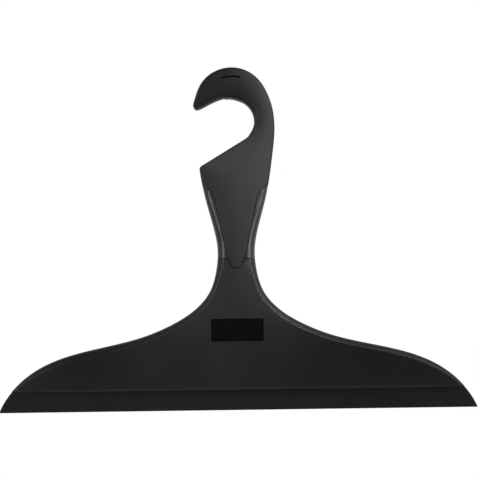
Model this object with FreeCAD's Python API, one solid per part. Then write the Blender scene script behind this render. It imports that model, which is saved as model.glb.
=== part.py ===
"""Hanger-shaped window squeegee: two-shell head, two-shell hook handle, side grips and a rubber blade.

Lengths are in millimetres. The outlines are drawn in the plane y = 0 with x across and z up from the
lip's wiping edge, x = 0 on the centre line of the head. The front faces -Y. Every piece is then moved so
that the origin lies on the axis of the rod that the hook hangs from.
"""
import FreeCAD, Part
import math
import os

Vector = FreeCAD.Vector

# Driving dimensions
blade_length = 280.0        # wiping edge, end to end
lip_height = 12.4           # rubber that shows below the head
lip_end_slant = 7.9         # how far each end of the lip draws in over its height
lip_end_bulge = 0.6         # how far each end curves out beyond a straight line
neck_height = 92.0          # narrowest place above the wiping edge
neck_width = 21.6
grip_length = 50.7          # from the neck to the top of the palm
palm_width = 41.9
rod_diameter = 25.0         # standard shower or curtain rod
rod_clearance = 0.1         # radial, between the rod and the pad
seat_offset = -1.1          # rod axis from the centre line
palm_below_rod = 13.6       # top of the palm below the underside of the rod

# Thickness and walls
mouth_thickness = 9.2       # head at its mouth, face to face
head_flare = 0.046          # gain in half thickness for each millimetre up the head
grip_thickness = 18.0       # handle at its thickest
grip_thick_rise = 28.0      # where the handle is thickest, above the neck
handle_face_radius = 1500.0 # long curve of the handle's faces, seen from the side
shell_wall = 2.0
head_edge_round = 2.2
handle_edge_round = 1.8

# Hook
hook_tip_radius = 2.2
palm_corner_radius = 2.4    # where the throat meets the palm
throat_angle = -59.0        # where the throat's straight edge leaves the seat's circle
hook_inner_wall = 4.4       # plastic between the seat and the hook's hollow
hook_cavity_angle = 112.0   # the beak is solid beyond this
pad_start_angle = 108.0
pad_end_angle = -50.0
pad_thickness = 1.6
pad_proud = 0.4             # the pad stands this far above the plastic beside it
pad_width = 8.0
latch_slot_length = 12.0
latch_slot_width = 0.8
latch_slot_reach = 12.8     # beyond the seat's circle, above the rod
latch_slot_offset = -1.9    # from the centre line
latch_clearance = 0.1
latch_depth = 1.2           # the latch tongue ends this far below the face

# Tongue and grips: the upper heights below the palm, the lower ones below the neck
tongue_shoulder_drop = 11.5
tongue_root_drop = 19.7
tongue_root_width = 24.6
tongue_waist_drop = 2.0
tongue_waist_width = 10.8
tongue_tip_drop = 8.7
tongue_tip_width = 5.2
grip_bottom_drop = 3.0
tongue_shoulder_share = 0.93  # of the palm's half width, where the shoulder meets the side
tongue_bend_share = 0.32    # of the shoulder's run, and how far down, where its arc passes
tongue_bend_drop = 3.6
tongue_tip_round = 0.9      # height of the tip's arc

# Tang, the handle's foot inside the head
tang_width = 9.0
tang_thickness = 8.0
tang_drop = 34.0            # its end below the neck
tang_clearance = 0.1

# Blade and its channel, with heights from the head's mouth
hinge_rise = 1.0            # the lip bends about this line, just inside the mouth
lip_root_thickness = 2.8
lip_edge_thickness = 1.2
lip_hinge_clearance = 0.2
lip_end_clearance = 0.5
mouth_side_gap = 1.0        # beside the lip's root
mouth_top_gap = 0.6         # above the lip's root
stem_clearance = 0.1
bead_step = 1.3             # how far the bead is wider than the stem, on each side
bead_height = 3.8
bead_rise = 4.8
bead_end_inset = 15.9       # from the mouth's end to the channel's closed end
bead_end_clearance = 0.3
channel_roof = 1.9          # plastic above the bead's channel
cavity_top_drop = 13.0      # top of the head's hollow below the neck

# Badge
badge_length = 30.3
badge_height = 12.9
badge_drop = 44.75          # its middle below the neck
badge_thickness = 1.2
badge_depth = 0.5           # below the head's face
badge_clearance = 0.1
badge_backing = 1.2         # plastic behind the badge
badge_backing_margin = 1.5

# Screws
screw_radius = 1.3
screw_thread_gap = 0.02     # self-tapping in the front boss
screw_pass_gap = 0.2        # clear in the rear boss and the tang
screw_head_radius = 2.6
screw_head_height = 1.8
screw_head_gap = 0.25
screw_recess = 0.6          # head below the rear face
screw_end_wall = 1.6        # plastic left in front of the screw
screw_drive_length = 3.2
screw_drive_width = 0.7
screw_drive_depth = 1.0
boss_wall = 1.0             # around the screw's head

# Shoulder, from the mouth's end to the neck, as shares of the run inward and upward
shoulder_shares = ((0.888, 0.149), (0.638, 0.290), (0.365, 0.389), (0.218, 0.482), (0.103, 0.598),
                   (0.040, 0.717), (0.009, 0.863))
shoulder_heading = 128.6
# Side of the hand grip, from the neck to the palm, as shares of the run outward and upward
side_shares = ((0.200, 0.274), (0.671, 0.631))
palm_heading = 82.5
# Back of the hook about the rod's axis: angle, and the hook's thickness there
hook_back = ((-20, 13.1), (0, 11.6), (20, 11.8), (40, 13.4), (60, 16.2), (75, 17.8), (90, 18.5),
             (105, 18.2), (120, 17.0), (135, 14.9), (150, 12.7))
# Underside of the beak about the rod's axis: angle, and its rise above the seat's circle
beak_underside = ((75, 0.0), (86, 0.35), (97, 0.8), (108, 1.2), (120, 1.75), (132, 2.6), (143, 3.9),
                  (152, 5.5))
tip_angle = 156.0
tip_reach = 10.0            # tip's centre beyond the seat's circle
tip_start_turn = 166.0      # heading from the tip's centre to where the back ends
tip_end_turn = 285.0        # and to where the underside starts

# Places that follow from the sizes above
blade_half = blade_length / 2
mouth_half = blade_half - lip_end_slant
neck_half = neck_width / 2
palm_half = palm_width / 2
palm_height = neck_height + grip_length
seat_radius = rod_diameter / 2 + rod_clearance
hook_wall_radius = seat_radius + pad_proud
hook_cavity_radius = seat_radius + hook_inner_wall
seat_height = palm_height + palm_below_rod + rod_diameter / 2
seat_center = Vector(seat_offset, 0, seat_height)
beak_start_angle = beak_underside[0][0]
grip_thick_height = neck_height + grip_thick_rise
latch_slot_height = seat_height + seat_radius + latch_slot_reach
tongue_shoulder_height = palm_height - tongue_shoulder_drop
tongue_root_height = palm_height - tongue_root_drop
tongue_waist_height = neck_height - tongue_waist_drop
tongue_tip_height = neck_height - tongue_tip_drop
grip_bottom_height = neck_height - grip_bottom_drop
tang_bottom_height = neck_height - tang_drop
hinge_height = lip_height + hinge_rise
mouth_slot_width = lip_root_thickness + 2 * mouth_side_gap
mouth_slot_top = hinge_height + lip_root_thickness / 2 + mouth_top_gap
bead_width = lip_root_thickness + 2 * bead_step
bead_bottom_height = lip_height + bead_rise
bead_length = 2 * (mouth_half - bead_end_inset)
cavity_bottom_height = bead_bottom_height + bead_height + stem_clearance + channel_roof
cavity_top_height = neck_height - cavity_top_drop
badge_center_height = neck_height - badge_drop
head_screw_places = [(side * across * blade_half, lip_height + up)
                     for across, up in ((0.671, 15.6), (0.321, 20.6)) for side in (-1, 1)]
tang_screw_place = (0.0, neck_height - 26.0)
handle_screw_places = ((0.0, neck_height + 14.0), (-3.0, palm_height - 2.7),
                       (seat_offset + seat_radius + 6.3, seat_height + 3.2))
deep = 40.0                 # more than any piece's thickness, for cutting right through
overrun = 10.0              # how far the head and the handle run past each other before they are parted
bite = 1.0                  # overlap of solids that are joined or cut
far = blade_length + 2 * deep  # beyond the piece's ends


def heading(angle):
    """Unit direction in the drawing plane, 0 to the right and 90 up."""
    turn = math.radians(angle)
    return Vector(math.cos(turn), 0, math.sin(turn))


def around_seat(angle, radius):
    return seat_center + heading(angle) * radius


def curve_through(points, start_direction, end_direction):
    """Smooth curve through points with unit directions at its ends."""
    directions = [start_direction] + [Vector(0, 0, 0)] * (len(points) - 2) + [end_direction]
    given = [True] + [False] * (len(points) - 2) + [True]
    curve = Part.BSplineCurve()
    curve.interpolate(Points=points, Tangents=directions, TangentFlags=given, Scale=False)
    return curve.toShape()


def arc_through(first, middle, last):
    return Part.Arc(first, middle, last).toShape()


def seat_arc(start_angle, end_angle, radius):
    middle = (start_angle + end_angle) / 2
    return arc_through(*[around_seat(a, radius) for a in (start_angle, middle, end_angle)])


def beside(edge, distance, count=24):
    """Points to the left of an edge at a distance, from its start to its end."""
    points = []
    for i in range(count + 1):
        u = edge.FirstParameter + (edge.LastParameter - edge.FirstParameter) * i / count
        along = edge.tangentAt(u)
        points.append(edge.valueAt(u) + Vector(-along.z, 0, along.x) * distance)
    return points


def mirrored(points):
    return [Vector(-p.x, p.y, p.z) for p in reversed(points)]


def mirrored_edge(edge):
    return edge.mirror(Vector(0, 0, 0), Vector(1, 0, 0))


def lines(points):
    return [Part.makeLine(a, b) for a, b in zip(points, points[1:])]


def closed(points):
    return lines(points + points[:1])


def prism(edges, y_low=-deep, y_high=deep):
    """Solid with a closed outline, from y_low to y_high."""
    face = Part.Face(Part.Wire(Part.__sortEdges__(edges)))
    face.translate(Vector(0, y_low, 0))
    return face.extrude(Vector(0, y_high - y_low, 0))


def block(x_low, x_high, y_low, y_high, z_low, z_high):
    return Part.makeBox(x_high - x_low, y_high - y_low, z_high - z_low, Vector(x_low, y_low, z_low))


def rod_along_y(radius, place, y_low, y_high):
    x, z = place
    return Part.makeCylinder(radius, y_high - y_low, Vector(x, y_low, z), Vector(0, 1, 0))


def single(shape):
    """The one solid in a boolean's result."""
    if len(shape.Solids) != 1:
        raise ValueError("expected one solid and got %d" % len(shape.Solids))
    return shape.Solids[0]


# ---- Faces ----

def head_face(z):
    """Half thickness of the head at a height."""
    return mouth_thickness / 2 + head_flare * (z - lip_height)


def handle_face(z):
    """Half thickness of the handle at a height."""
    return grip_thickness / 2 - (z - grip_thick_height) ** 2 / (2 * handle_face_radius)


def head_slab(inset=0.0):
    """Wedge between the head's two flat faces, thinner by inset on each side."""
    z_low, z_high = 0.0, neck_height + deep
    low, high = head_face(z_low) - inset, head_face(z_high) - inset
    corners = [Vector(-far, -low, z_low), Vector(-far, low, z_low), Vector(-far, high, z_high),
               Vector(-far, -high, z_high)]
    return Part.Face(Part.Wire(closed(corners))).extrude(Vector(2 * far, 0, 0))


def handle_slab(inset=0.0):
    """Space between the handle's two long curved faces, thinner by inset on each side."""
    heights = (tongue_tip_height - deep, grip_thick_height, seat_height + 2 * deep)
    front = [Vector(-far, inset - handle_face(z), z) for z in heights]
    rear = [Vector(-far, handle_face(z) - inset, z) for z in heights]
    edges = [arc_through(*front), arc_through(*rear)]
    edges += [Part.makeLine(front[0], rear[0]), Part.makeLine(front[-1], rear[-1])]
    return Part.Face(Part.Wire(Part.__sortEdges__(edges))).extrude(Vector(2 * far, 0, 0))


# ---- Outlines ----

def shoulder():
    """Upper edge of the head's right half, from the mouth's end to the neck."""
    points = [Vector(mouth_half, 0, lip_height)]
    for across, up in shoulder_shares:
        x = neck_half + (mouth_half - neck_half) * across
        points.append(Vector(x, 0, lip_height + (neck_height - lip_height) * up))
    points.append(Vector(neck_half, 0, neck_height))
    return curve_through(points, heading(shoulder_heading), heading(90))


def grip_side():
    """Right side of the hand grip, from the neck to the palm."""
    points = [Vector(neck_half, 0, neck_height)]
    for across, up in side_shares:
        x = neck_half + (palm_half - neck_half) * across
        points.append(Vector(x, 0, neck_height + (palm_height - neck_height) * up))
    points.append(Vector(palm_half, 0, palm_height))
    return curve_through(points, heading(90), heading(palm_heading))


def on_tip(turn):
    """Point on the beak's round tip."""
    return around_seat(tip_angle, seat_radius + tip_reach) + heading(turn) * hook_tip_radius


def hook_back_curve():
    """From the palm's right side over the top to the beak's tip."""
    points = [Vector(palm_half, 0, palm_height)]
    points += [around_seat(angle, seat_radius + thickness) for angle, thickness in hook_back]
    points.append(on_tip(tip_start_turn))
    return curve_through(points, heading(palm_heading), heading(tip_start_turn + 90))


def underside_points(radius, last_angle):
    """Points under the beak, from an angle back to the seat's circle, above a circle about the rod."""
    return [around_seat(a, radius + rise) for a, rise in reversed(beak_underside) if a <= last_angle]


def throat():
    """The open space of the hook, out past the left side."""
    points = [on_tip(tip_end_turn)] + underside_points(hook_wall_radius, tip_angle)
    beak = curve_through(points, heading(tip_end_turn + 90), heading(beak_start_angle - 90))
    tip_turns = (tip_start_turn, (tip_start_turn + tip_end_turn) / 2, tip_end_turn)
    leave = around_seat(throat_angle, hook_wall_radius)
    outside = leave + heading(throat_angle - 90) * (3 * palm_half)
    tip_left = on_tip(tip_start_turn)
    corners = [leave, outside, Vector(outside.x, 0, tip_left.z), tip_left]
    edges = [beak, seat_arc(beak_start_angle, throat_angle, hook_wall_radius)]
    edges.append(arc_through(*[on_tip(turn) for turn in tip_turns]))
    return prism(edges + lines(corners))


def handle_outline():
    """Neck, palm and hook in one, before the throat is cut out."""
    bottom = grip_bottom_height - overrun
    right = grip_side()
    tip_left = on_tip(tip_start_turn)
    below_tip = tip_left - Vector(0, 0, 2 * hook_tip_radius)
    corners = [tip_left, below_tip, Vector(-palm_half, 0, palm_height)]
    foot = [Vector(-neck_half, 0, neck_height), Vector(-neck_half, 0, bottom),
            Vector(neck_half, 0, bottom), Vector(neck_half, 0, neck_height)]
    edges = [right, hook_back_curve(), mirrored_edge(right)] + lines(corners) + lines(foot)
    return prism(edges)


def head_outline():
    """The head with its ends run on below the mouth, so that its face edges end square when rounded."""
    right = shoulder()
    mouth_end = Vector(mouth_half, 0, lip_height)
    square_end = mouth_end - heading(shoulder_heading) * (lip_height * 0.7)
    inner_end = square_end + heading(shoulder_heading + 90) * (lip_height * 0.4)
    ends = [mouth_end, square_end, inner_end]
    top = [Vector(-neck_half, 0, neck_height), Vector(neck_half, 0, neck_height)]
    return prism([right, mirrored_edge(right)] + lines(ends + mirrored(ends)) + lines(top))


def tongue_outline():
    """Everything that belongs to the handle's faces: the hook, the palm and the tongue over the neck."""
    shoulder_x = palm_half * tongue_shoulder_share
    root, waist, tip = tongue_root_width / 2, tongue_waist_width / 2, tongue_tip_width / 2
    bend_x = root + (shoulder_x - root) * tongue_bend_share
    bend = Vector(bend_x, 0, tongue_shoulder_height - tongue_bend_drop)
    top = [Vector(shoulder_x, 0, tongue_shoulder_height), Vector(2 * palm_half, 0, tongue_shoulder_height),
           Vector(2 * palm_half, 0, seat_height + 2 * deep)]
    side = [Vector(tip, 0, tongue_tip_height + tongue_tip_round), Vector(waist, 0, tongue_waist_height),
            Vector(root, 0, tongue_root_height)]
    edges = [arc_through(side[-1], bend, top[0])] + lines(top) + lines(side)
    edges += [mirrored_edge(edge) for edge in edges]
    edges.append(arc_through(side[0], Vector(0, 0, tongue_tip_height), Vector(-side[0].x, 0, side[0].z)))
    edges.append(Part.makeLine(top[-1], Vector(-top[-1].x, 0, top[-1].z)))
    return prism(edges)


def rounded(solid, radius, face_at, z_low, z_high):
    """The solid with the edges of its two faces rounded, between two heights."""
    chosen = []
    for edge in solid.Edges:
        middle = edge.valueAt((edge.FirstParameter + edge.LastParameter) / 2)
        on_face = abs(abs(middle.y) - face_at(middle.z)) < 0.3
        if on_face and z_low < middle.z < z_high:
            chosen.append(edge)
    return single(solid.makeFillet(radius, chosen))


def with_round_corner(solid):
    """The handle with the corner between its throat and its palm rounded."""
    expected = Vector(-palm_half, 0, palm_height)
    across = [edge for edge in solid.Edges if edge.BoundBox.YLength > grip_thickness / 2]
    corner = min(across, key=lambda edge: (edge.CenterOfMass - expected).Length)
    return single(solid.makeFillet(palm_corner_radius, [corner]))


def head_body():
    """The head as one solid, both shells together."""
    solid = single(head_outline().common(head_slab()))
    solid = rounded(solid, head_edge_round, head_face, lip_height * 0.6, neck_height - 0.5)
    return solid.common(block(-far, far, -deep, deep, lip_height, far))


def handle_body():
    """The handle and its side grips as one solid."""
    solid = single(handle_outline().cut(throat()).common(handle_slab()))
    low = grip_bottom_height - overrun + bite
    return rounded(with_round_corner(solid), handle_edge_round, handle_face, low, far)


# ---- Hollows ----

def half_space(front):
    """The front or the rear side of the parting plane."""
    return block(-far, far, -deep, 0, -deep, far) if front else block(-far, far, 0, deep, -deep, far)


def head_cavity():
    """Hollow of the head, above the blade's channel."""
    side = [p for p in beside(shoulder(), shell_wall) if cavity_bottom_height < p.z < cavity_top_height]
    ends = [Vector(side[0].x + bite, 0, cavity_bottom_height), Vector(side[-1].x, 0, cavity_top_height)]
    line = [ends[0]] + side + [ends[1]]
    outline = prism(closed(line + mirrored(line)))
    return outline.common(head_slab(shell_wall))


def blade_channel():
    """Mouth slot, stem slot and bead channel."""
    stem = lip_root_thickness / 2 + stem_clearance
    bead = bead_width / 2 + stem_clearance
    bead_top = bead_bottom_height + bead_height + stem_clearance
    slot = block(-far, far, -mouth_slot_width / 2, mouth_slot_width / 2, 0, mouth_slot_top)
    reach = bead_length / 2
    slot = slot.fuse(block(-reach, reach, -stem, stem, 0, bead_bottom_height + bite))
    return slot.fuse(block(-reach, reach, -bead, bead, bead_bottom_height - stem_clearance, bead_top))


def angle_about_seat(point):
    turn = math.degrees(math.atan2(point.z - seat_center.z, point.x - seat_center.x))
    return turn if turn > -90 else turn + 360


def palm_cavity():
    """Hollow of the palm and of the hook up to the beak."""
    low = tongue_shoulder_height + shell_wall
    right = [p for p in beside(grip_side(), shell_wall) if p.z > low][:-1]
    back = [p for p in beside(hook_back_curve(), shell_wall, 60) if angle_about_seat(p) < hook_cavity_angle]
    inside = seat_arc(hook_cavity_angle, throat_angle, hook_cavity_radius)
    leave = around_seat(throat_angle, hook_cavity_radius)
    left_x = -palm_half + 2 * shell_wall
    run = (leave.x - left_x) / math.sin(math.radians(-throat_angle))
    corner = leave + heading(throat_angle - 90) * run
    foot = [corner, Vector(left_x, 0, low), Vector(right[0].x, 0, low)]
    outside = [foot[-1]] + right + back + [around_seat(hook_cavity_angle, hook_cavity_radius)]
    outline = prism([inside, Part.makeLine(leave, corner)] + lines(foot) + lines(outside))
    return outline.common(handle_slab(shell_wall))


def tongue_cavity():
    """Hollow of the tongue, open into the palm."""
    root, waist = tongue_root_width / 2 - shell_wall, tongue_waist_width / 2 - shell_wall
    top = [Vector(root, 0, tongue_shoulder_height + 2 * shell_wall), Vector(root, 0, tongue_root_height)]
    line = top + [Vector(waist, 0, tongue_waist_height + 2 * shell_wall)]
    return prism(closed(line + mirrored(line))).common(handle_slab(shell_wall))


# ---- Screws ----

def screw_parts(place, face_at):
    """A screw from the rear, with the boss and the holes that it needs."""
    front, rear = -face_at(place[1]), face_at(place[1])
    head_top = rear - screw_recess
    head_low = head_top - screw_head_height
    tip = front + screw_end_wall + screw_thread_gap
    screw = rod_along_y(screw_head_radius, place, head_low, head_top)
    screw = screw.fuse(rod_along_y(screw_radius, place, tip, head_low + 0.1))
    x, z = place
    long, wide = screw_drive_length / 2, screw_drive_width / 2
    low = head_top - screw_drive_depth
    for across, up in ((long, wide), (wide, long)):
        screw = screw.cut(block(x - across, x + across, low, rear + bite, z - up, z + up))
    boss_radius = screw_head_radius + screw_head_gap + boss_wall
    return {
        "screw": single(screw),
        "boss": rod_along_y(boss_radius, place, front + shell_wall / 2, rear - shell_wall / 2),
        "thread": rod_along_y(screw_radius + screw_thread_gap, place, front + screw_end_wall, 0),
        "pass": rod_along_y(screw_radius + screw_pass_gap, place, 0, deep),
        "pocket": rod_along_y(screw_head_radius + screw_head_gap, place, head_low, deep),
    }


def shell(body, hollows, extras, sets, front):
    """Front or rear half of a body: its wall, its bosses and its screw holes."""
    side = half_space(front)
    solid = body
    for hollow in hollows:
        solid = solid.cut(hollow)
    for extra in extras:
        solid = solid.fuse(extra.common(body))
    for parts in sets:
        solid = solid.fuse(parts["boss"].common(body))
    for parts in sets:
        for hole in ("thread",) if front else ("pass", "pocket"):
            solid = solid.cut(parts[hole])
    return solid.common(side)


# ---- Pieces ----

def tang(clearance=0.0):
    """Foot of the handle inside the head."""
    across, through = tang_width / 2 + clearance, tang_thickness / 2 + clearance
    top = tongue_waist_height + shell_wall
    return block(-across, across, -through, through, tang_bottom_height - clearance, top)


def badge_block(margin, inset, thickness):
    """Plate that follows the head's front face, inset below it."""
    across, up = badge_length / 2 + margin, badge_height / 2 + margin
    plate = block(-across, across, -deep, 0, badge_center_height - up, badge_center_height + up)
    return plate.common(head_slab(inset)).cut(head_slab(inset + thickness))


def pad_outline(low, high):
    """Strip along the hook's inner wall, between two heights above the pad's surface."""
    edges = []
    ends = []
    for height in (low, high):
        radius = seat_radius + height
        points = underside_points(radius, pad_start_angle)
        start_direction = (points[1] - points[0]).normalize()
        edges.append(curve_through(points, start_direction, heading(beak_start_angle - 90)))
        edges.append(seat_arc(beak_start_angle, pad_end_angle, radius))
        ends.append((points[0], around_seat(pad_end_angle, radius)))
    edges += [Part.makeLine(a, b) for a, b in zip(*ends)]
    return prism(edges, -pad_width / 2, pad_width / 2)


def latch(clearance=0.0, tongue=True):
    """The slot near the hook's top, or the latch tongue that stands in it."""
    across, up = latch_slot_length / 2 - clearance, latch_slot_width / 2 - clearance
    face = handle_face(latch_slot_height)
    y_low = -face + latch_depth if tongue else -deep
    y_high = face - shell_wall / 2 if tongue else 0
    x, z = latch_slot_offset, latch_slot_height
    return block(x - across, x + across, y_low, y_high, z - up, z + up)


def make_handle():
    body = handle_body()
    pad_recess = pad_outline(-pad_width / 2, pad_thickness)
    own = body.common(tongue_outline()).cut(pad_recess)
    foot = tang()
    sets = [screw_parts(place, handle_face) for place in handle_screw_places]
    hollows = [palm_cavity(), tongue_cavity()]
    foot_hole = rod_along_y(screw_radius + screw_pass_gap, tang_screw_place, -deep, deep)
    shells = []
    for front in (True, False):
        half = shell(own, hollows, [], sets, front)
        half = half.fuse(foot.common(half_space(front))).cut(foot_hole)
        if front:
            half = half.cut(latch(tongue=False))
        else:
            half = half.fuse(latch(latch_clearance)).cut(half_space(True).cut(latch(latch_clearance)))
        shells.append(single(half.removeSplitter()))
    grips = body.cut(tongue_outline()).common(block(-far, far, -deep, deep, grip_bottom_height, far))
    left, right = sorted(grips.Solids, key=lambda solid: solid.CenterOfMass.x)
    return shells, left, right, [parts["screw"] for parts in sets]


def make_head():
    body = head_body().cut(tongue_outline()).cut(tang(tang_clearance)).cut(blade_channel())
    body = body.common(block(-far, far, -deep, deep, 0, grip_bottom_height))
    sets = [screw_parts(place, head_face) for place in head_screw_places + [tang_screw_place]]
    pocket = badge_block(badge_clearance, -bite, badge_depth + badge_thickness + bite)
    backing = badge_block(badge_backing_margin, badge_depth + badge_thickness, badge_backing)
    shells = []
    for front in (True, False):
        extras = [backing] if front else []
        half = shell(body, [head_cavity()], extras, sets, front)
        if front:
            half = half.cut(pocket)
        shells.append(single(half.removeSplitter()))
    plate = single(badge_block(0, badge_depth, badge_thickness))
    return shells, plate, [parts["screw"] for parts in sets]


def make_root():
    """The blade's bead and stem, which the head's shells clamp."""
    reach = bead_length / 2 - bead_end_clearance
    stem, bead = lip_root_thickness / 2, bead_width / 2
    piece = block(-reach, reach, -stem, stem, hinge_height, bead_bottom_height + bite)
    bead_top = bead_bottom_height + bead_height
    piece = piece.fuse(block(-reach, reach, -bead, bead, bead_bottom_height, bead_top))
    hinge_start = Vector(-far, 0, hinge_height)
    socket = Part.makeCylinder(stem + lip_hinge_clearance, 2 * far, hinge_start, Vector(1, 0, 0))
    return single(piece.cut(socket).removeSplitter())


def make_lip():
    """The part of the blade that bends: round at its root and thin at its edge."""
    root, edge = lip_root_thickness / 2, lip_edge_thickness / 2
    front = [Vector(-far, -root, hinge_height), Vector(-far, -edge, 0)]
    rear = [Vector(-far, edge, 0), Vector(-far, root, hinge_height)]
    top = arc_through(rear[-1], Vector(-far, 0, hinge_height + root), front[0])
    profile = Part.Face(Part.Wire(lines(front + rear) + [top])).extrude(Vector(2 * far, 0, 0))
    inside = mouth_half - lip_end_clearance
    top_z = hinge_height + root + bite
    top_x = inside - (top_z - lip_height) / math.tan(math.radians(180 - shoulder_heading))
    corner, mouth_end = Vector(blade_half, 0, 0), Vector(mouth_half, 0, lip_height)
    outward = Vector(lip_height, 0, lip_end_slant).normalize()
    bulge = (corner + mouth_end) / 2 + outward * lip_end_bulge
    upper = [mouth_end, Vector(inside, 0, lip_height), Vector(top_x, 0, top_z)]
    half = [arc_through(corner, bulge, mouth_end)] + lines(upper)
    edges = half + [mirrored_edge(edge) for edge in half]
    edges += [Part.makeLine(p, Vector(-p.x, 0, p.z)) for p in (corner, upper[-1])]
    return single(profile.common(prism(edges)))


def main():
    handle_shells, grip_left, grip_right, handle_screws = make_handle()
    head_shells, badge_plate, head_screws = make_head()
    nodes = {
        "handle_front_shell": handle_shells[0],
        "handle_rear_shell": handle_shells[1],
        "grip_left": grip_left,
        "grip_right": grip_right,
        "hook_pad": single(pad_outline(0, pad_thickness)),
        "head_front_shell": head_shells[0],
        "head_rear_shell": head_shells[1],
        "badge_plate": badge_plate,
        "blade_root": make_root(),
        "blade_lip": make_lip(),
        "head_screws": Part.makeCompound(head_screws),
        "handle_screws": Part.makeCompound(handle_screws),
    }
    os.makedirs("parts", exist_ok=True)
    to_origin = Vector(-seat_center.x, 0, -seat_center.z)
    for name, shape in nodes.items():
        shape.translate(to_origin)
        shape.exportStep(os.path.join("parts", name + ".step"))
        print(name, "valid", shape.isValid(), "solids", len(shape.Solids), "mm3", round(shape.Volume, 1))


main()
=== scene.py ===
"""Finished look of a hanger-shaped window squeegee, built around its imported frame.

Lengths are in metres. Outlines are drawn in the plane y = 0 as (x, z), with the axis of the rod that the
hook hangs from at the origin. The front faces -Y.
"""

import math

import bmesh
import bpy
import numpy as np
from bpy.props import FloatProperty, FloatVectorProperty, PointerProperty
from mathutils import Matrix, Vector
from mathutils.geometry import delaunay_2d_cdt


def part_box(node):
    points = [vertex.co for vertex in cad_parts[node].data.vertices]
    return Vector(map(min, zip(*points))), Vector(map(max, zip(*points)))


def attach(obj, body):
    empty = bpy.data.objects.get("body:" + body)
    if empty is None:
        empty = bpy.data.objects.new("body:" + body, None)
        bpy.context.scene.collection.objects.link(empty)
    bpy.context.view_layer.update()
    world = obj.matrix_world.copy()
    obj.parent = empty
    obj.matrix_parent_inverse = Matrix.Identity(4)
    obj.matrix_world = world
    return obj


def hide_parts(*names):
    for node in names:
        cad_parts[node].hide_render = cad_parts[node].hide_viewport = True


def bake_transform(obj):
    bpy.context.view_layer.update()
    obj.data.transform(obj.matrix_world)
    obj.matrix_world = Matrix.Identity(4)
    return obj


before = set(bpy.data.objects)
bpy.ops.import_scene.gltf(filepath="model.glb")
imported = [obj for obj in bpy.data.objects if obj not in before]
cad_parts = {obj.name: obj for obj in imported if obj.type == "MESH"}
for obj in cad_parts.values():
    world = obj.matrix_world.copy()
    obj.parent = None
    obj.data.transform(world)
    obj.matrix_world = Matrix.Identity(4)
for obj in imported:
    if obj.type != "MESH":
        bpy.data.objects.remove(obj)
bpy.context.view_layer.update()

bl_info = {
    "name": "Window squeegee",
    "version": (1, 0, 0),
    "blender": (4, 5, 0),
    "location": "View3D > Sidebar > Squeegee",
    "description": "Builds a hanger-shaped window squeegee around its frame",
    "category": "Object",
}

MM = 0.001
TINY = 1e-6

# ---- Places that come from the frame ----
lip_low, lip_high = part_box("blade_lip")
head_low, head_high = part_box("head_front_shell")
grip_low, grip_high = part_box("grip_right")
badge_low, badge_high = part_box("badge_plate")
pad_low, pad_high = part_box("hook_pad")
MIDDLE = (lip_low.x + lip_high.x) / 2
BLADE_HALF = (lip_high.x - lip_low.x) / 2
EDGE_Z = lip_low.z
MOUTH_Z = head_low.z
MOUTH_HALF = (head_high.x - head_low.x) / 2
GRIP_BOTTOM_Z = grip_low.z
SHOULDER_Z = grip_high.z
PAD_HALF = (pad_high.y - pad_low.y) / 2

# ---- Sizes of the drawing ----
NECK_Z = EDGE_Z + 92.0 * MM
NECK_HALF = 10.8 * MM
PALM_Z = NECK_Z + 50.7 * MM
PALM_HALF = 20.95 * MM
SEAT_RADIUS = 12.6 * MM
WALL_RADIUS = 13.0 * MM         # hook's plastic, 0.4 mm behind the pad
MOUTH_FACE = 4.6 * MM           # half thickness at the mouth
HEAD_FLARE = 0.046
GRIP_FACE = 9.0 * MM            # half thickness of the handle at its thickest
THICK_Z = NECK_Z + 28.0 * MM
FACE_RADIUS = 1500 * MM
THROAT_ANGLE = -59.0
PALM_CORNER = 2.4 * MM
TIP_RADIUS = 2.2 * MM
TIP_CENTER = (156.0, SEAT_RADIUS + 10.0 * MM)
TIP_TURNS = (166.0, 285.0)
SHOULDER_HEADING = 128.6
SHOULDER_SHARES = ((0.888, 0.149), (0.638, 0.290), (0.365, 0.389), (0.218, 0.482), (0.103, 0.598),
                   (0.040, 0.717), (0.009, 0.863))
SIDE_SHARES = ((0.200, 0.274), (0.671, 0.631))
PALM_HEADING = 82.5
# Hook's back: degrees about the rod, and millimetres beyond the seat
HOOK_BACK = ((-20, 13.1), (0, 11.6), (20, 11.8), (40, 13.4), (60, 16.2), (75, 17.8), (90, 18.5),
             (105, 18.2), (120, 17.0), (135, 14.9), (150, 12.7))
# Beak's underside: degrees about the rod, and millimetres above the seat's circle
BEAK_UNDERSIDE = ((75, 0.0), (86, 0.35), (97, 0.8), (108, 1.2), (120, 1.75), (132, 2.6), (143, 3.9),
                  (152, 5.5))
PAD_ANGLES = (-50, 108)
PAD_THICKNESS = 1.6 * MM
TONGUE_ROOT = (12.3 * MM, PALM_Z - 19.7 * MM)
TONGUE_WAIST = (5.4 * MM, NECK_Z - 2.0 * MM)
TONGUE_TIP = (2.6 * MM, NECK_Z - 7.8 * MM)
TONGUE_END_Z = NECK_Z - 8.7 * MM
TONGUE_BEND = (0.32, 3.6 * MM)
LATCH_PLACE = (MIDDLE - 1.9 * MM, SEAT_RADIUS + 12.8 * MM)
HINGE_Z = MOUTH_Z + 1.0 * MM
ROOT_FACE = 1.4 * MM            # half thickness of the blade at its root
LIP_FACE = 0.6 * MM             # and at its wiping edge
LIP_END_BULGE = 0.6 * MM        # how far the ends of the lip curve out
BEAD_FACE = 2.7 * MM            # half thickness of the blade's bead
BEAD_Z = MOUTH_Z + 4.75 * MM
ROOT_HALF = 116.4 * MM          # half length of the blade inside the head
ROOT_TOP_Z = MOUTH_Z + 8.6 * MM
SCREW_GAP = 0.25 * MM           # around a screw's head
SCREW_HEAD = 1.8 * MM           # its thickness
END_TAPER = 16.0 * MM           # height over which the head's round grows from the mouth's ends
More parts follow.
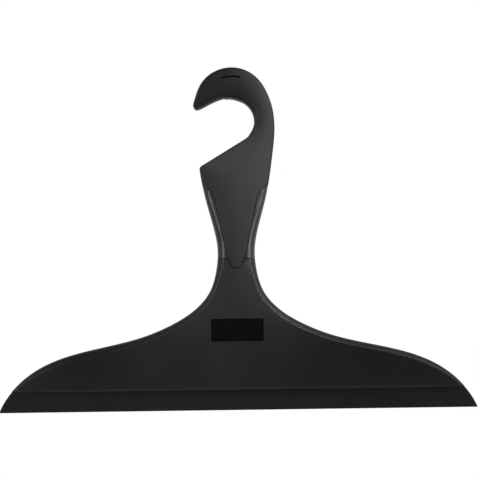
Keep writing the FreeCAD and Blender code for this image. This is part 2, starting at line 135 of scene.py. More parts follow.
NECK_TAPER = 14.0 * MM          # and over which it grows below the grips
HEAD_SCREWS = [(side * across * BLADE_HALF, MOUTH_Z + up * MM)
               for across, up in ((0.671, 15.6), (0.321, 20.6)) for side in (-1, 1)]
HEAD_SCREWS = [(MIDDLE + x, z) for x, z in HEAD_SCREWS] + [(MIDDLE, NECK_Z - 26.0 * MM)]
HANDLE_SCREWS = [(MIDDLE, NECK_Z + 14.0 * MM), (MIDDLE - 3.0 * MM, PALM_Z - 2.7 * MM),
                 (SEAT_RADIUS + 6.3 * MM, 3.2 * MM)]
FRONT, REAR = -1, 1

# ---- Fineness of the meshes ----
STEP = 1.0 * MM                 # between points along an outline
GRID = 2.6 * MM                 # between points inside a face
ROUND_SHARES = (0.04, 0.16, 0.4, 0.64, 0.82, 0.93, 1.0)  # of an edge's round, where points lie
ROUND_GAP = 0.08 * MM           # least distance between points across an edge's round
ARC_STEP = 9.0                  # degrees between points on a small arc
ROUND_POWER = 1.5               # 2 would make the edges' rounds elliptical, and 1 would make them flat
ROUND_DEPTH = 1.4               # of their width
WALL_GAP = 0.02 * MM            # between the top and the foot of a recess's wall
BLOCK = 800                     # points measured at a time
SHARP = math.radians(38)


# ==== Curves in the drawing plane ====

def direction(degrees):
    turn = math.radians(degrees)
    return np.array((math.cos(turn), math.sin(turn)))


def around_rod(degrees, radius):
    return direction(degrees) * radius


def line(start, end, step=STEP):
    start, end = np.array(start), np.array(end)
    count = max(1, math.ceil(np.linalg.norm(end - start) / step))
    return start + (end - start) * (np.arange(count + 1) / count)[:, None]


def arc(center, radius, start, end):
    """Points on a circle between two headings, in either sense."""
    span = abs(end - start)
    count = math.ceil(max(span / ARC_STEP, math.radians(span) * radius / STEP))
    return np.array([center + direction(a) * radius for a in np.linspace(start, end, count + 1)])


def arc_through(first, middle, last):
    """Points on the arc through three points."""
    first, middle, last = (np.array(p) for p in (first, middle, last))
    sides = 2 * np.array((middle - first, last - first))
    squares = np.array((middle @ middle - first @ first, last @ last - first @ first))
    center = np.linalg.solve(sides, squares)
    turns = [math.degrees(math.atan2(*(p - center)[::-1])) for p in (first, middle, last)]
    turns = np.degrees(np.unwrap(np.radians(turns)))
    return arc(center, np.linalg.norm(first - center), turns[0], turns[-1])


def curve(points, start_heading, end_heading):
    """Points along a smooth curve through the given ones, with headings at its ends."""
    knots = np.array(points)
    spans = np.linalg.norm(np.diff(knots, axis=0), axis=1)
    system, right = np.eye(len(knots)), np.zeros((len(knots), 2))
    right[0], right[-1] = direction(start_heading), direction(end_heading)
    for i in range(1, len(knots) - 1):
        before, after = spans[i - 1], spans[i]
        system[i, i - 1:i + 2] = 1 / before, 2 / before + 2 / after, 1 / after
        right[i] = 3 * (knots[i] - knots[i - 1]) / before ** 2 + 3 * (knots[i + 1] - knots[i]) / after ** 2
    slopes = np.linalg.solve(system, right)
    found = [knots[:1]]
    for i, span in enumerate(spans):
        count = max(2, math.ceil(span / STEP))
        t = (np.arange(1, count + 1) / count)[:, None]
        rise = t * t * (3 - 2 * t)
        bend = slopes[i] * (t - 2 * t ** 2 + t ** 3) + slopes[i + 1] * (t ** 3 - t ** 2)
        found.append(knots[i] + (knots[i + 1] - knots[i]) * rise + bend * span)
    return np.vstack(found)


def mirrored(points):
    """The same run on the other side of the centre line, in the other sense."""
    return points[::-1] * (-1, 1) + (2 * MIDDLE, 0)


def between(run, low, high):
    """The part of a rising run between two heights, with its ends exactly there."""
    inside = run[(run[:, 1] > low + TINY) & (run[:, 1] < high - TINY)]
    ends = [(np.interp(z, run[:, 1], run[:, 0]), z) for z in (low, high)]
    return np.vstack([ends[:1], inside, ends[1:]])


# ==== Outlines of the squeegee ====

def right_side():
    """Silhouette from the mouth's end up the shoulder and the hand grip to the palm."""
    shoulder = [(MIDDLE + MOUTH_HALF, MOUTH_Z)]
    for across, up in SHOULDER_SHARES:
        x = MIDDLE + NECK_HALF + (MOUTH_HALF - NECK_HALF) * across
        shoulder.append((x, MOUTH_Z + (NECK_Z - MOUTH_Z) * up))
    neck = (MIDDLE + NECK_HALF, NECK_Z)
    grip = [neck]
    for across, up in SIDE_SHARES:
        x = neck[0] + (PALM_HALF - NECK_HALF) * across
        grip.append((x, NECK_Z + (PALM_Z - NECK_Z) * up))
    grip.append((MIDDLE + PALM_HALF, PALM_Z))
    lower = curve(shoulder + [neck], SHOULDER_HEADING, 90)
    return np.vstack([lower, curve(grip, 90, PALM_HEADING)[1:]])


def tip_arc():
    return arc(around_rod(*TIP_CENTER), TIP_RADIUS, *TIP_TURNS)


def hook_back():
    points = [(MIDDLE + PALM_HALF, PALM_Z)]
    points += [around_rod(angle, SEAT_RADIUS + beyond * MM) for angle, beyond in HOOK_BACK]
    points.append(tip_arc()[0])
    return curve(points, PALM_HEADING, TIP_TURNS[0] + 90)


def beak_underside(radius, last_angle):
    return [around_rod(a, radius + rise * MM) for a, rise in reversed(BEAK_UNDERSIDE) if a <= last_angle]


def hook_inside():
    """From the beak's tip along its underside and round the seat to where the throat opens."""
    start, beak = tip_arc()[-1], beak_underside(WALL_RADIUS, 180)
    under = curve([start] + beak, TIP_TURNS[1] + 90, BEAK_UNDERSIDE[0][0] - 90)
    seat = arc(np.zeros(2), WALL_RADIUS, BEAK_UNDERSIDE[0][0], THROAT_ANGLE)
    return np.vstack([under, seat[1:]])


def throat_and_corner():
    """Throat's straight edge, its round corner, and the height where the left side goes on from it."""
    leave = around_rod(THROAT_ANGLE, WALL_RADIUS)
    along = direction(THROAT_ANGLE - 90)
    left = mirrored(between(right_side(), SHOULDER_Z, PALM_Z))[::-1]
    aside = (left - leave) @ np.array((-along[1], along[0]))
    corner = np.array([np.interp(0, np.sort(aside), left[np.argsort(aside), k]) for k in range(2)])
    down = left[0] - corner
    down /= np.linalg.norm(down)
    opening = math.acos(np.clip(down @ -along, -1, 1))
    reach = PALM_CORNER / math.tan(opening / 2)
    middle_way = (down - along) / np.linalg.norm(down - along)
    center = corner + middle_way * PALM_CORNER / math.sin(opening / 2)
    ends = corner - along * reach, corner + down * reach
    bend = arc_through(ends[0], center - middle_way * PALM_CORNER, ends[1])
    return line(leave, ends[0]), bend


def tongue_side():
    """Right edge of the tongue, from the silhouette down to the tongue's tip."""
    silhouette = between(right_side(), GRIP_BOTTOM_Z, SHOULDER_Z)
    top = silhouette[-1]
    root, waist, tip = ((MIDDLE + x, z) for x, z in (TONGUE_ROOT, TONGUE_WAIST, TONGUE_TIP))
    share, drop = TONGUE_BEND
    bend = (root[0] + (top[0] - root[0]) * share, SHOULDER_Z - drop)
    end = (MIDDLE, TONGUE_END_Z)
    half_arc = arc_through(tip, end, (2 * MIDDLE - tip[0], tip[1]))
    half_arc = half_arc[half_arc[:, 0] > MIDDLE + TINY]
    runs = [arc_through(top, bend, root), line(root, waist)[1:], line(waist, tip)[1:], half_arc[1:], [end]]
    return np.vstack(runs)


def tongue_part(low, high):
    """The right edge of the tongue between two heights, falling."""
    return between(tongue_side()[::-1], low, high)[::-1]


def eased(values, low, high):
    share = np.clip((values - low) / (high - low), 0, 1)
    return share * share * (3 - 2 * share)


def outline(runs):
    """Closed outline from runs of points, each with the round of its edge there."""
    starts, ends, rounds = [], [], []
    for points, edge_round in runs:
        radius = np.broadcast_to(edge_round, len(points))
        starts.append(points[:-1])
        ends.append(points[1:])
        rounds.append(np.stack((radius[:-1], radius[1:]), axis=1))
    return np.vstack(starts), np.vstack(ends), np.vstack(rounds)


def head_outline(sizes):
    side = between(right_side(), MOUTH_Z, GRIP_BOTTOM_Z)
    low = eased(side[:, 1], MOUTH_Z, MOUTH_Z + END_TAPER)
    high = eased(side[:, 1], GRIP_BOTTOM_Z - NECK_TAPER, GRIP_BOTTOM_Z)
    radius = sizes.end_round + (sizes.head_round - sizes.end_round) * low
    radius += (sizes.neck_round - sizes.head_round) * high
    tongue = tongue_part(TONGUE_END_Z, GRIP_BOTTOM_Z)
    seam = np.vstack([line(side[-1], tongue[0]), tongue[1:]])
    seam = np.vstack([seam, mirrored(seam)[1:]])
    left = mirrored(side)
    mouth = line(left[-1], side[0], GRID)
    return outline([(side, radius), (seam, sizes.seam_round), (left, radius[::-1]),
                    (mouth, sizes.mouth_round)])


def grip_outline(sizes, right=True):
    side = between(right_side(), GRIP_BOTTOM_Z, SHOULDER_Z)
    tongue = tongue_part(GRIP_BOTTOM_Z, SHOULDER_Z)
    foot = line(tongue[-1], side[0])
    radius = np.interp(side[:, 1], (GRIP_BOTTOM_Z, SHOULDER_Z), (sizes.neck_round, sizes.grip_round))
    runs = [(foot, np.full(len(foot), sizes.seam_round)), (side, radius),
            (tongue, np.full(len(tongue), sizes.seam_round))]
    if not right:
        runs = [(mirrored(points), rounds[::-1]) for points, rounds in reversed(runs)]
    return outline(runs)


def handle_outline(sizes):
    side = between(right_side(), SHOULDER_Z, PALM_Z)
    back, tip, inside = hook_back(), tip_arc(), hook_inside()
    throat, corner = throat_and_corner()
    left = mirrored(side)
    left = np.vstack([corner[-1:], left[left[:, 1] < corner[-1, 1] - TINY]])
    tongue = tongue_side()
    angles = np.arctan2(inside[:, 1], inside[:, 0])
    soft = eased(angles, sizes.soft_from, sizes.soft_full)
    inner = sizes.throat_round + (sizes.pad_round - sizes.throat_round) * soft
    tip_round = np.linspace(sizes.handle_round, sizes.pad_round, len(tip))
    return outline([(tongue[::-1], sizes.seam_round), (side, sizes.handle_round),
                    (back, sizes.handle_round), (tip, tip_round), (inside, inner),
                    (throat, sizes.throat_round), (corner, sizes.throat_round),
                    (left, sizes.handle_round), (mirrored(tongue)[::-1], sizes.seam_round)])


def skin():
    """The whole silhouette above the mouth, as runs of one polyline, for the swell of the faces."""
    side = right_side()
    throat, corner = throat_and_corner()
    left = mirrored(side)
    left = left[left[:, 1] < corner[-1, 1]]
    runs = [hook_back(), tip_arc(), hook_inside(), throat, corner]
    points = np.vstack([side] + [run[1:] for run in runs] + [left])
    return points[:-1], points[1:]


# ==== Heights of the faces above the parting plane ====

def gaps_to(points, starts, ends):
    """Distance from each point to each piece of an outline, and how far along the piece it falls."""
    along = ends - starts
    aside = points[:, None] - starts
    t = np.clip((aside * along).sum(2) / (along ** 2).sum(1), 0, 1)
    return np.linalg.norm(aside - t[..., None] * along, axis=2), t


def in_blocks(measure, points):
    return np.concatenate([measure(points[i:i + BLOCK]) for i in range(0, max(1, len(points)), BLOCK)])


def edge_drop(points, edges):
    """How far the rounds of an outline's edges lower each point.

    A round is deeper than it is wide and leaves the face at a crest, with a steep band outside it.
    """
    starts, ends, rounds = edges

    def measure(block):
        gap, t = gaps_to(block, starts, ends)
        radius = rounds[:, 0] + t * (rounds[:, 1] - rounds[:, 0])
        short = np.clip(1 - gap / radius, 0, 1)
        return (ROUND_DEPTH * radius * (1 - (1 - short ** ROUND_POWER) ** (1 / ROUND_POWER))).max(axis=1)
    return in_blocks(measure, points)


def nearest(points, edges):
    starts, ends = edges[:2]
    return in_blocks(lambda block: gaps_to(block, starts, ends)[0].min(axis=1), points)


def swell(points, sizes):
    """Share of the full thickness that the crowned faces have, from the silhouette inwards.

    The distance to the silhouette is exact beside it and smooth over the middle, so the faces swell
    without a ridge.
    """
    starts, ends = skin()
    lengths = np.linalg.norm(ends - starts, axis=1)

    def measure(block):
        gap = gaps_to(block, starts, ends)[0]
        near = gap.min(axis=1)
        soft = (2 / math.pi * (lengths / np.maximum(gap, STEP / 2) ** 4).sum(axis=1)) ** (-1 / 3)
        trust = np.clip(near / STEP - 1, 0, 1)
        return near + (soft - near) * trust
    reach = np.clip(in_blocks(measure, points) / sizes.crown_width, 0, 1)
    return 1 - sizes.crown * (1 - reach) ** 2


def head_face(points, sizes):
    flat = MOUTH_FACE + HEAD_FLARE * (points[:, 1] - MOUTH_Z)
    return flat * swell(points, sizes)


def handle_face(points, sizes):
    flat = GRIP_FACE - (points[:, 1] - THICK_Z) ** 2 / (2 * FACE_RADIUS)
    return flat * swell(points, sizes)


class Recess:
    """A hollow in a face: a rounded rectangle, or a circle, with a floor at a depth below the face."""

    def __init__(self, center, half, corner, depth=0.0, chamfer=0.0, bow=0.0):
        self.center, self.half, self.corner = np.array(center), np.array(half), corner
        self.depth, self.chamfer, self.bow = depth, chamfer, bow

    def bowed(self, points):
        lowered = np.zeros_like(points)
        lowered[:, 1] = self.bow * (points[:, 0] ** 2 - self.center[0] ** 2)
        return points + lowered

    def beyond(self, points):
        """Distance outside the hollow's edge, negative inside."""
        past = np.abs(self.bowed(points) - self.center) - self.half + self.corner
        return np.linalg.norm(np.maximum(past, 0), axis=1) + np.minimum(past.max(axis=1), 0) - self.corner

    def loop(self, grow):
        radius, inner = self.corner + grow, self.half - self.corner
        corners = [arc(self.center + inner * sign, radius, start, start + 90)
                   for sign, start in (((1, 1), 0), ((-1, 1), 90), ((-1, -1), 180), ((1, -1), 270))]
        points = np.vstack(corners)
        sides = [line(a, b)[:-1] for a, b in zip(points, np.roll(points, -1, axis=0))
                 if np.linalg.norm(b - a) > TINY]
        points = np.vstack(sides)
        points[:, 1] -= self.bow * (points[:, 0] ** 2 - self.center[0] ** 2)
        return points

    def loops(self):
        return [self.loop(grow) for grow in (0.0, WALL_GAP, WALL_GAP + self.chamfer)]

    def drop(self, points):
        beyond = self.beyond(points)
        slope = np.clip(self.chamfer + WALL_GAP - beyond, 0, None)
        return np.where(beyond < WALL_GAP / 2, self.depth, slope)


# ==== Meshes ====

def inward(edges):
    """At each corner of an outline, the way into the face and how much longer a corner's offset is."""
    starts, ends = edges[:2]
    along = (ends - starts) / np.linalg.norm(ends - starts, axis=1)[:, None]
    normal = np.stack((-along[:, 1], along[:, 0]), axis=1)
    both = normal + np.roll(normal, 1, axis=0)
    both /= np.linalg.norm(both, axis=1)[:, None]
    return both / np.clip((both * normal).sum(axis=1), 0.5, 1)[:, None]


def round_rings(edges):
    """Points across the rounds of an outline's edges and just beyond them."""
    ways, radius = inward(edges), edges[2][:, 0]
    rings, last = [], 0
    for share in ROUND_SHARES:
        apart = (share - last) * radius > ROUND_GAP
        rings.append((share * radius, 0.95 * share * radius, apart | (share == 1)))
        last = share
    rings.append((radius + STEP, radius + 0.6 * STEP, radius > 0))
    kept = []
    for offset, least, wanted in rings:
        points = edges[0] + ways * offset[:, None]
        wanted &= (nearest(points, edges) > least) & inside_of(points, edges)
        kept.append(points[wanted])
    return np.vstack(kept)


def inside_of(points, edges):
    """Whether each point lies inside an outline, by the crossings of a level line."""
    starts, ends = edges[:2]
    x, z = points[:, 0, None], points[:, 1, None]
    spans = (starts[:, 1] > z) != (ends[:, 1] > z)
    rise = np.where(ends[:, 1] == starts[:, 1], 1, ends[:, 1] - starts[:, 1])
    crossing = starts[:, 0] + (z - starts[:, 1]) / rise * (ends[:, 0] - starts[:, 0])
    return (spans & (x < crossing)).sum(axis=1) % 2 == 1


def face_grid(edges, spacing):
    low, high = edges[0].min(axis=0), edges[0].max(axis=0)
    x, z = np.meshgrid(np.arange(low[0], high[0], spacing), np.arange(low[1], high[1], spacing))
    x[1::2] += spacing / 2
    points = np.stack((x.ravel(), z.ravel()), axis=1)
    points = points[inside_of(points, edges)]
    starts, ends, rounds = edges

    def clear(block):
        return (gaps_to(block, starts, ends)[0] - rounds[:, 0]).min(axis=1) > STEP + spacing / 3
    return points[in_blocks(clear, points)]


def triangulated(edges, recesses, rows, spacing):
    """Points and triangles of a face: its outline, the rounds beside it, its hollows and a grid."""
    count = len(edges[0])
    inside = [round_rings(edges), face_grid(edges, spacing)]
    if len(rows):
        rows = rows[inside_of(rows, edges)]
        inside = [rows[nearest(rows, edges) > STEP / 4]] + [p[off_rows(p, rows)] for p in inside]
    loops = []
    for recess in recesses:
        margin = recess.chamfer + STEP / 2
        inside = [p[recess.beyond(p) > margin] for p in inside]
        loops += recess.loops()
    points = np.vstack([edges[0]] + loops + inside)
    ties = [(i, (i + 1) % count) for i in range(count)]
    first = count
    for loop in loops:
        ties += [(first + i, first + (i + 1) % len(loop)) for i in range(len(loop))]
        first += len(loop)
    found = delaunay_2d_cdt([Vector(p) for p in points], ties, [], 1, TINY / 10)
    places = {source: i for i, sources in enumerate(found[3]) for source in sources}
    return np.array([tuple(p) for p in found[0]]), found[2], [places[i] for i in range(count)]


def off_rows(points, rows):
    heights = np.unique(np.round(rows[:, 1], 6))
    return np.abs(points[:, 1, None] - heights).min(axis=1) > STEP / 3


def made_object(name, vertices, faces, rim):
    """A closed mesh object with its faces turned outwards and a mask that is 1 at its outer edges."""
    mesh = bpy.data.meshes.new(name)
    mesh.from_pydata([tuple(v) for v in vertices], [], faces)
    work = bmesh.new()
    work.from_mesh(mesh)
    bmesh.ops.dissolve_degenerate(work, dist=TINY / 10, edges=work.edges)
    bmesh.ops.recalc_face_normals(work, faces=work.faces)
    work.to_mesh(mesh)
    work.free()
    if len(mesh.vertices) == len(rim):
        mask = mesh.attributes.new("rim", "FLOAT", "POINT")
        mask.data.foreach_set("value", np.array(rim, np.float32))
    mesh.shade_smooth()
    mesh.set_sharp_from_angle(angle=SHARP)
    made = bpy.data.objects.new(name, mesh)
    bpy.context.scene.collection.objects.link(made)
    return made


def plate(name, edges, over, under, side=FRONT, recesses=(), rows=(), spacing=GRID, groove=0.0):
    """A solid with a face over an outline: its edges are rounded, and recesses are sunk into it.

    over and under give the heights of the face and of the back above the parting plane, towards the
    side that the face looks to. A groove draws the foot of the wall in beside the parting plane.
    """
    flat, triangles, rim_places = triangulated(edges, recesses, np.array(rows), spacing)
    drop = edge_drop(flat, edges)
    height = over(flat) - drop
    for recess in recesses:
        height = height - recess.drop(flat)
    depth = under(flat)
    count = len(flat)
    low = flat.copy()
    low[rim_places] += inward(edges) * groove
    top = np.stack((flat[:, 0], side * height, flat[:, 1]), axis=1)
    bottom = np.stack((low[:, 0], side * depth, low[:, 1]), axis=1)
    wall = np.stack((flat[rim_places, 0], side * (depth[rim_places] + groove), flat[rim_places, 1]), axis=1)
    faces = [tuple(t) for t in triangles] + [tuple(count + i for i in reversed(t)) for t in triangles]
    size = len(rim_places)
    for i in range(size):
        j = (i + 1) % size
        a, b, c, d = rim_places[i], rim_places[j], 2 * count + j, 2 * count + i
        faces.append((b, a, d, c))
        faces.append((c, d, count + a, count + b))
    radius = edges[2].max()
    near = np.clip(1 - nearest(flat, edges) / radius, 0, 1)
    rim = np.concatenate((near, near, np.ones(size)))
    return made_object(name, np.vstack((top, bottom, wall)), faces, rim)


def bar(name, path, ways, section, end_bevel):
    """A solid bar: a section, as (across y, outward) points, swept along a path in the drawing plane."""
    middle = section.mean(axis=0)
    small = middle + (section - middle) * (1 - 2 * end_bevel / np.ptp(section[:, 1]))
    stations = [(path[0], ways[0], small), (path[0] + (path[1] - path[0]) * 0.2, ways[0], section)]
    stations += [(p, w, section) for p, w in zip(path[1:-1], ways[1:-1])]
    stations += [(path[-1] + (path[-2] - path[-1]) * 0.2, ways[-1], section), (path[-1], ways[-1], small)]
    vertices, faces, size = [], [], len(section)
    for place, way, points in stations:
        vertices += [(place[0] + way[0] * v, u, place[1] + way[1] * v) for u, v in points]
    for s in range(len(stations) - 1):
        for i in range(size):
            j = (i + 1) % size
            faces.append((s * size + i, s * size + j, (s + 1) * size + j, (s + 1) * size + i))
    last = (len(stations) - 1) * size
    faces += [tuple(range(size)), tuple(last + i for i in reversed(range(size)))]
    return made_object(name, vertices, faces, np.zeros(len(vertices)))


# ==== Materials ====

class Tree:
    """Short ways to add and join the nodes of a node tree."""

    def __init__(self, tree):
        self.tree = tree
        self.tree.nodes.clear()

    def add(self, kind, settings=None, **inputs):
        node = self.tree.nodes.new(kind)
        for name, value in (settings or {}).items():
            setattr(node, name, value)
        for name, value in inputs.items():
            self.feed(node, name, value)
        return node

    def feed(self, node, name, value):
        socket = node.inputs[int(name[1:])] if name[1:].isdigit() else node.inputs[name.replace("_", " ")]
        if isinstance(value, bpy.types.NodeSocket):
            self.tree.links.new(value, socket)
        else:
            socket.default_value = value

    def math(self, operation, *values, clamp=False):
        settings = {"operation": operation, "use_clamp": clamp}
        return self.add("ShaderNodeMath", settings, **{"i%d" % i: v for i, v in enumerate(values)}).outputs[0]

    def ramp(self, value, low, high, to_low=0.0, to_high=1.0):
        node = self.add("ShaderNodeMapRange", {"interpolation_type": "SMOOTHSTEP"}, Value=value,
                        From_Min=low, From_Max=high, To_Min=to_low, To_Max=to_high)
        return node.outputs["Result"]

    def mix(self, factor, first, second):
        node = self.add("ShaderNodeMix", {"data_type": "RGBA"}, i0=factor, i6=first, i7=second)
        return node.outputs[2]


def new_group(name, inputs, outputs):
    """A node group with named number inputs and outputs."""
    group = bpy.data.node_groups.new(name, "ShaderNodeTree")
    for label, default in inputs:
        socket = group.interface.new_socket(label, in_out="INPUT", socket_type="NodeSocketFloat")
        socket.default_value = default
    for label in outputs:
        group.interface.new_socket(label, in_out="OUTPUT", socket_type="NodeSocketFloat")
    tree = Tree(group)
    return group, tree, tree.add("NodeGroupInput").outputs, tree.add("NodeGroupOutput")


def millimetres(tree, size):
    """Object coordinates in units of a size in millimetres."""
    place = tree.add("ShaderNodeTexCoord").outputs["Object"]
    scale = tree.math("DIVIDE", 1 / MM, size)
    return tree.add("ShaderNodeVectorMath", {"operation": "SCALE"}, Vector=place, Scale=scale).outputs[0]


def grain_group():
    """Spark-etched mould grain: a height and a lightness that both vary over the surface."""
    group, tree, given, out = new_group("Mould grain", [("Grain size", 0.6), ("Fine share", 0.4)],
                                        ["Height", "Lightness"])
    place = millimetres(tree, given["Grain size"])
    coarse = tree.add("ShaderNodeTexNoise", Vector=place, Scale=1.0, Detail=2.0, Roughness=0.6)
    fine = tree.add("ShaderNodeTexVoronoi", {"feature": "SMOOTH_F1"}, Vector=place, Scale=2.3)
    share = given["Fine share"]
    rest = tree.math("SUBTRACT", 1.0, share)
    height = tree.math("ADD", tree.math("MULTIPLY", coarse.outputs[0], rest),
                       tree.math("MULTIPLY", fine.outputs["Distance"], share))
    tree.feed(out, "Height", height)
    tree.feed(out, "Lightness", tree.ramp(coarse.outputs[0], 0.3, 0.7))
    return group


def wear_group():
    """Handling wear: a mask that is strongest at the outer edges and breaks up along them."""
    group, tree, given, out = new_group("Edge wear", [("Rim", 0.0), ("Amount", 0.5), ("Patch size", 6.0)],
                                        ["Mask"])
    place = millimetres(tree, given["Patch size"])
    patches = tree.add("ShaderNodeTexNoise", Vector=place, Scale=1.0, Detail=4.0, Roughness=0.65).outputs[0]
    edge = tree.ramp(given["Rim"], 0.25, 0.75)
    broken = tree.ramp(patches, 0.42, 0.62)
    worn = tree.math("MULTIPLY", tree.math("MULTIPLY", edge, broken), given["Amount"], clamp=True)
    tree.feed(out, "Mask", worn)
    return group


def film_group():
    """A thin film of dust and dried water that clouds the finish in soft patches with a few specks."""
    group, tree, given, out = new_group("Dust film", [("Patch size", 35.0), ("Specks", 0.3)],
                                        ["Cloud", "Speck"])
    soft = tree.add("ShaderNodeTexNoise", Vector=millimetres(tree, given["Patch size"]), Scale=1.0,
                    Detail=3.0, Roughness=0.55).outputs[0]
    dots = tree.add("ShaderNodeTexVoronoi", Vector=millimetres(tree, 4.0), Scale=1.0, Randomness=1.0)
    near = tree.ramp(dots.outputs["Distance"], 0.06, 0.03)
    picked = tree.add("ShaderNodeSeparateColor", i0=dots.outputs["Color"]).outputs[0]
    chosen = tree.math("GREATER_THAN", picked, 0.72)
    tree.feed(out, "Cloud", tree.ramp(soft, 0.35, 0.68))
    tree.feed(out, "Speck", tree.math("MULTIPLY", tree.math("MULTIPLY", near, chosen), given["Specks"]))
    return group


def streak_group():
    """Fine lines drawn out along X, as on a cut rubber edge or a wiped plate."""
    group, tree, given, out = new_group("Drawn streaks", [("Line width", 0.5), ("Line length", 60.0)],
                                        ["Height", "Mask"])
    place = tree.add("ShaderNodeTexCoord").outputs["Object"]
    parts = tree.add("ShaderNodeSeparateXYZ", i0=place).outputs
    across = tree.math("DIVIDE", 1 / MM, given["Line width"])
    along = tree.math("DIVIDE", 1 / MM, given["Line length"])
    drawn = tree.add("ShaderNodeCombineXYZ", i0=tree.math("MULTIPLY", parts[0], along),
                     i1=parts[1], i2=tree.math("MULTIPLY", parts[2], across)).outputs[0]
    lines = tree.add("ShaderNodeTexNoise", Vector=drawn, Scale=1.0, Detail=3.0, Roughness=0.6).outputs[0]
    tree.feed(out, "Height", lines)
    tree.feed(out, "Mask", tree.ramp(lines, 0.5, 0.68))
    return group


class Finish:
    """Starts a material with its shader, and adds the shared groups to it."""

    def __init__(self, name, color, roughness, specular):
        self.material = bpy.data.materials.new(name)
        self.material.use_nodes = True
        self.tree = Tree(self.material.node_tree)
        self.shader = self.tree.add("ShaderNodeBsdfPrincipled", Roughness=roughness)
        self.shader.inputs["Specular IOR Level"].default_value = specular
        self.color = tuple(color) + (1.0,)
        self.tree.add("ShaderNodeOutputMaterial", Surface=self.shader.outputs[0])
        self.material.diffuse_color = self.color
        self.tint, self.gloss, self.heights = self.color, roughness, []

    def group(self, name, maker, **values):
        tree = bpy.data.node_groups.get(name) or maker()
        return self.tree.add("ShaderNodeGroup", {"node_tree": tree}, **values).outputs

    def rim(self):
        return self.tree.add("ShaderNodeAttribute", {"attribute_name": "rim"}).outputs["Fac"]

    def lighten(self, mask, toward, share=1.0):
        factor = self.tree.math("MULTIPLY", mask, share)
        self.tint = self.tree.mix(factor, self.tint, tuple(toward) + (1.0,))

    def roughen(self, mask, change):
        self.gloss = self.tree.math("MULTIPLY_ADD", mask, change, self.gloss, clamp=True)

    def bump(self, height, distance, strength=1.0):
        self.heights.append((height, distance, strength))

    def done(self):
        self.tree.feed(self.shader, "Base_Color", self.tint)
        self.tree.feed(self.shader, "Roughness", self.gloss)
        normal = None
        for height, distance, strength in self.heights:
            node = self.tree.add("ShaderNodeBump", Strength=strength, Distance=distance, Height=height)
            if normal:
                self.tree.feed(node, "Normal", normal)
            normal = node.outputs[0]
        if normal:
            self.tree.feed(self.shader, "Normal", normal)
        return self.material


def plastic(name, looks, grain_size, grain_depth, variation, wear):
    """Black moulded plastic: etched grain, worn edges and a thin film of dust."""
    finish = Finish(name, looks.plastic, looks.plastic_roughness, looks.plastic_specular)
    grain = finish.group("Mould grain", grain_group, Grain_size=grain_size)
    film = finish.group("Dust film", film_group)
    worn = finish.group("Edge wear", wear_group, Rim=finish.rim(), Amount=wear)
    finish.lighten(grain["Lightness"], looks.grain_light, variation)
    finish.lighten(film["Cloud"], looks.dust, 0.004)
    finish.lighten(film["Speck"], looks.dust, 0.2)
    finish.lighten(worn["Mask"], looks.worn, 0.3)
    finish.roughen(film["Cloud"], 0.04)
    finish.roughen(worn["Mask"], -0.12)
    finish.bump(grain["Height"], grain_depth)
    return finish.done()


def elastomer(name, looks, roughness):
    """Soft black elastomer: smoother than the plastic, polished where it is held."""
    finish = Finish(name, looks.elastomer, roughness, looks.elastomer_specular)
    grain = finish.group("Mould grain", grain_group, Grain_size=0.35, Fine_share=0.2)
    film = finish.group("Dust film", film_group, Patch_size=18.0, Specks=0.5)
    worn = finish.group("Edge wear", wear_group, Rim=finish.rim(), Amount=0.6, Patch_size=9.0)
    finish.lighten(film["Cloud"], looks.dust, 0.01)
    finish.lighten(film["Speck"], looks.dust, 0.25)
    finish.lighten(worn["Mask"], looks.worn, 0.4)
    finish.roughen(film["Cloud"], 0.08)
    finish.roughen(worn["Mask"], -0.08)
    finish.bump(grain["Height"], 0.02 * MM)
    return finish.done()


def blade_rubber(looks):
    """Cut black rubber: faint lines along the blade and a dusty bloom."""
    finish = Finish("Blade rubber", looks.rubber, looks.rubber_roughness, looks.rubber_specular)
    lines = finish.group("Drawn streaks", streak_group, Line_width=0.7, Line_length=70.0)
    film = finish.group("Dust film", film_group, Patch_size=22.0, Specks=0.8)
    finish.lighten(lines["Mask"], looks.dust, 0.012)
    finish.lighten(film["Cloud"], looks.dust, 0.008)
    finish.lighten(film["Speck"], looks.dust, 0.25)
    finish.roughen(lines["Mask"], 0.08)
    finish.bump(lines["Height"], 0.03 * MM)
    return finish.done()


def badge_gloss(looks):
    """Polished black plate with hairline wipe marks."""
    finish = Finish("Badge gloss", looks.badge, 0.12, 0.45)
    lines = finish.group("Drawn streaks", streak_group, Line_width=0.25, Line_length=14.0)
    film = finish.group("Dust film", film_group, Patch_size=9.0, Specks=0.4)
    finish.lighten(film["Speck"], looks.dust, 0.5)
    finish.roughen(lines["Mask"], 0.1)
    finish.roughen(film["Cloud"], 0.05)
    finish.bump(lines["Height"], 0.004 * MM)
    return finish.done()


def screw_steel(looks):
    """Zinc-plated steel, dulled in patches."""
    finish = Finish("Screw steel", looks.steel, 0.32, 0.5)
    finish.shader.inputs["Metallic"].default_value = 1.0
    grain = finish.group("Mould grain", grain_group, Grain_size=0.25)
    film = finish.group("Dust film", film_group, Patch_size=2.5, Specks=0.2)
    worn = finish.group("Edge wear", wear_group, Rim=finish.rim(), Amount=0.7, Patch_size=1.2)
    finish.lighten(film["Cloud"], looks.worn, 0.3)
    finish.roughen(film["Cloud"], 0.2)
    finish.roughen(worn["Mask"], -0.12)
    finish.bump(grain["Height"], 0.01 * MM)
    return finish.done()


def studio_floor(looks):
    """Pale painted boards of the studio, faintly mottled."""
    finish = Finish("Studio floor", looks.floor, 0.7, 0.3)
    film = finish.group("Dust film", film_group, Patch_size=400.0, Specks=0.0)
    finish.lighten(film["Cloud"], looks.dust, 0.06)
    return finish.done()


def shared_material(name, maker, *values):
    """The material of that name, made the first time that a piece asks for it."""
    return bpy.data.materials.get(name) or maker(*values)


